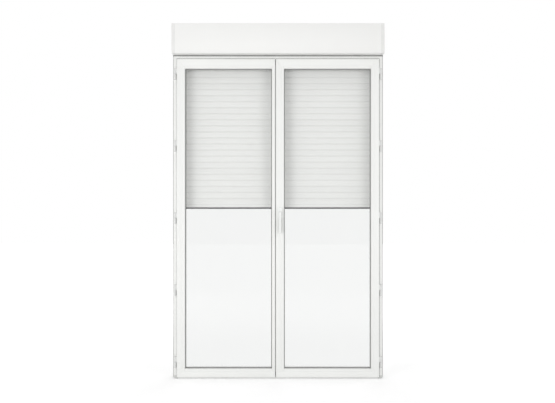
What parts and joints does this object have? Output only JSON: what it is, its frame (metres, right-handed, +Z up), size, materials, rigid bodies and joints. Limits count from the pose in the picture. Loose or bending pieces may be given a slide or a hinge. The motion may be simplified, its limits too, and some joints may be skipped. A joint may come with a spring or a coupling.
{
  "type": "window with roller shutter",
  "caption": "Two-leaf inward-opening glazed door window in a slim white frame, with a roller shutter box on its head and the slatted curtain half lowered behind the glass.",
  "frame": {"origin": "on the ground, under the middle of the shutter box", "axes": "+X to the right as seen from the room, +Y outdoors, +Z up"},
  "size_m": [1.28, 0.18, 2.15],
  "materials": {
    "white_lacquer": "white satin powder coat",
    "box_plastic": "white, softly satin",
    "slat_plastic": "white, matt",
    "white_hardware": "white gloss lacquer",
    "clear_glass": "clear float glass",
    "seal_rubber": "dark grey extruded rubber",
    "spacer_metal": "grey edge spacer",
    "bright_steel": "zinc plated",
    "moulded_plastic": "off-white moulded",
    "motor_casing": "grey",
    "brush_pile": "grey woven pile"
  },
  "bodies": {
    "window_frame": {"frame_head": "white_lacquer", "frame_jamb_left": "white_lacquer", "frame_jamb_right": "white_lacquer", "frame_corner_cleats": "moulded_plastic", "threshold": "white_lacquer", "threshold_shoes": "moulded_plastic", "frame_seal": "seal_rubber", "hinge_frame_halves": "white_hardware", "hinge_pins": "bright_steel", "guide_left": "white_lacquer", "guide_right": "white_lacquer", "guide_brushes": "brush_pile", "guide_funnels": "box_plastic", "box_front_panel": "box_plastic", "box_top_panel": "box_plastic", "box_rear_panel": "box_plastic", "box_access_panel": "box_plastic", "box_base_panel": "box_plastic", "box_end_cap_left": "box_plastic", "box_end_cap_right": "box_plastic", "roll_brackets": "bright_steel", "idler_bearing": "bright_steel", "tube_motor": "motor_casing"},
    "right_leaf": {"right_leaf_hinge_stile": "white_lacquer", "right_leaf_meeting_stile": "white_lacquer", "right_leaf_top_rail": "white_lacquer", "right_leaf_bottom_rail": "white_lacquer", "right_leaf_panes": "clear_glass", "right_leaf_spacer": "spacer_metal", "right_leaf_beads": "white_lacquer", "right_leaf_gaskets": "seal_rubber", "right_leaf_glazing_blocks": "moulded_plastic", "right_leaf_hinge_halves": "white_hardware", "handle_rosette": "white_hardware", "lock_case": "bright_steel", "lock_faceplate": "bright_steel"},
    "left_leaf": {"left_leaf_hinge_stile": "white_lacquer", "left_leaf_meeting_stile": "white_lacquer", "left_leaf_top_rail": "white_lacquer", "left_leaf_bottom_rail": "white_lacquer", "left_leaf_panes": "clear_glass", "left_leaf_spacer": "spacer_metal", "left_leaf_beads": "white_lacquer", "left_leaf_gaskets": "seal_rubber", "left_leaf_glazing_blocks": "moulded_plastic", "left_leaf_hinge_halves": "white_hardware", "left_leaf_astragal": "white_lacquer", "left_leaf_strike_plates": "bright_steel"},
    "handle": {"handle_lever": "white_hardware", "handle_spindle": "bright_steel"},
    "lock_bar": {"lock_rod": "bright_steel"},
    "top_bolt": {"flush_bolt_top": "bright_steel"},
    "bottom_bolt": {"flush_bolt_bottom": "bright_steel"},
    "curtain": {"curtain_slats": "slat_plastic", "end_slat": "slat_plastic", "bottom_seal": "seal_rubber"},
    "winding_shaft": {"winding_tube": "bright_steel", "motor_adapters": "moulded_plastic", "idler_plug": "moulded_plastic", "curtain_roll": "slat_plastic"}
  },
  "joints": [
    {"name": "right_leaf_swing", "type": "hinge", "parent": "window_frame", "child": "right_leaf", "pos_m": [0.6273, -0.028, 0.978], "axis": [0, 0, 1], "range_deg": [0, 100]},
    {"name": "left_leaf_swing", "type": "hinge", "parent": "window_frame", "child": "left_leaf", "pos_m": [-0.6273, -0.028, 0.978], "axis": [0, 0, 1], "range_deg": [-90, 0]},
    {"name": "handle_turn", "type": "hinge", "parent": "right_leaf", "child": "handle", "pos_m": [0.013, -0.05, 1.01], "axis": [0, -1, 0], "range_deg": [0, 90]},
    {"name": "lock_bar_slide", "type": "slide", "parent": "right_leaf", "child": "lock_bar", "axis": [0, 0, 1], "range_m": [0, 0.018]},
    {"name": "top_bolt_slide", "type": "slide", "parent": "left_leaf", "child": "top_bolt", "axis": [0, 0, 1], "range_m": [0, 0.018]},
    {"name": "bottom_bolt_slide", "type": "slide", "parent": "left_leaf", "child": "bottom_bolt", "axis": [0, 0, -1], "range_m": [0, 0.018]},
    {"name": "curtain_slide", "type": "slide", "parent": "window_frame", "child": "curtain", "axis": [0, 0, 1], "range_m": [-1.012, 0.855], "deforming": ["curtain_slats"]},
    {"name": "winding_shaft_spin", "type": "hinge", "parent": "window_frame", "child": "winding_shaft", "pos_m": [0, 0.0003, 2.06], "axis": [1, 0, 0], "range_deg": [-900, 780]}
  ],
  "couplings": [
    {"joint": "left_leaf_swing", "follows": "right_leaf_swing", "ratio": -0.9},
    {"joint": "lock_bar_slide", "follows": "handle_turn", "m_per_rad": 0.011458},
    {"joint": "winding_shaft_spin", "follows": "curtain_slide", "rad_per_m": 15.3}
  ]
}
